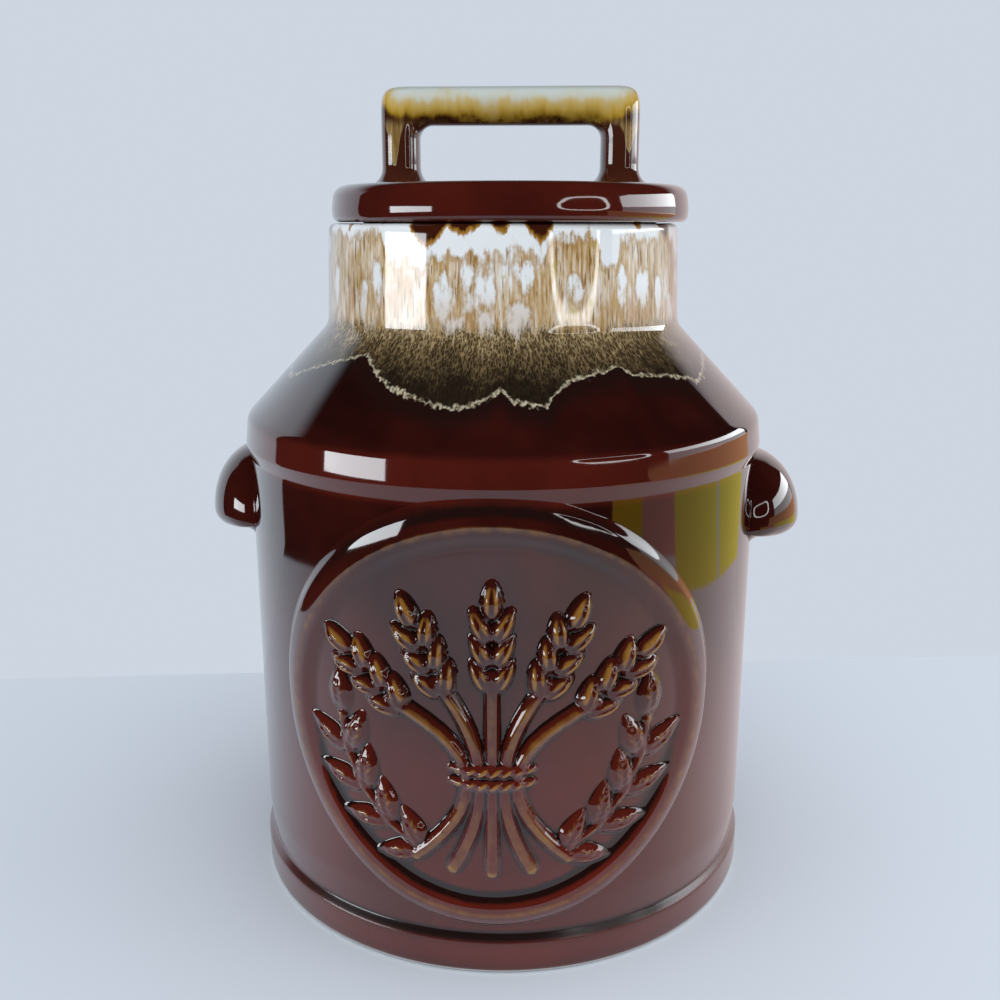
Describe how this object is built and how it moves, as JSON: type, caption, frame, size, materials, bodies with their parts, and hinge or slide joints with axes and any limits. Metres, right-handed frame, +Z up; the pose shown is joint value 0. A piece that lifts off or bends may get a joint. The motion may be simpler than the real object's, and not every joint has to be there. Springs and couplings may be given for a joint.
{
  "type": "cookie jar",
  "caption": "Glazed stoneware cookie jar shaped like a milk churn, with side lugs, a round wheat sheaf relief and a loose lid with a bridge handle.",
  "frame": {"origin": "middle of the foot, on the surface that the jar stands on", "axes": "+Z up along the jar's axis, -Y out of the relief on the front, +X towards the right lug as seen from the front"},
  "size_m": [0.1954, 0.1692, 0.254],
  "materials": {
    "body_glaze": "very glossy dark red-brown glaze, with a cream drip glaze over the neck",
    "relief_glaze": "very glossy red-brown glaze, amber where it breaks over the relief",
    "handle_glaze": "glossy brown glaze with a cream and ochre drip over the top"
  },
  "bodies": {
    "jar": {"jar_body": "body_glaze", "medallion": "relief_glaze", "left_lug": "body_glaze", "right_lug": "body_glaze"},
    "lid": {"lid": "body_glaze", "lid_handle": "handle_glaze"}
  },
  "joints": [
    {"name": "lid_lift", "type": "slide", "parent": "jar", "child": "lid", "axis": [0, 0, 1], "range_m": [0, 0.06]}
  ]
}
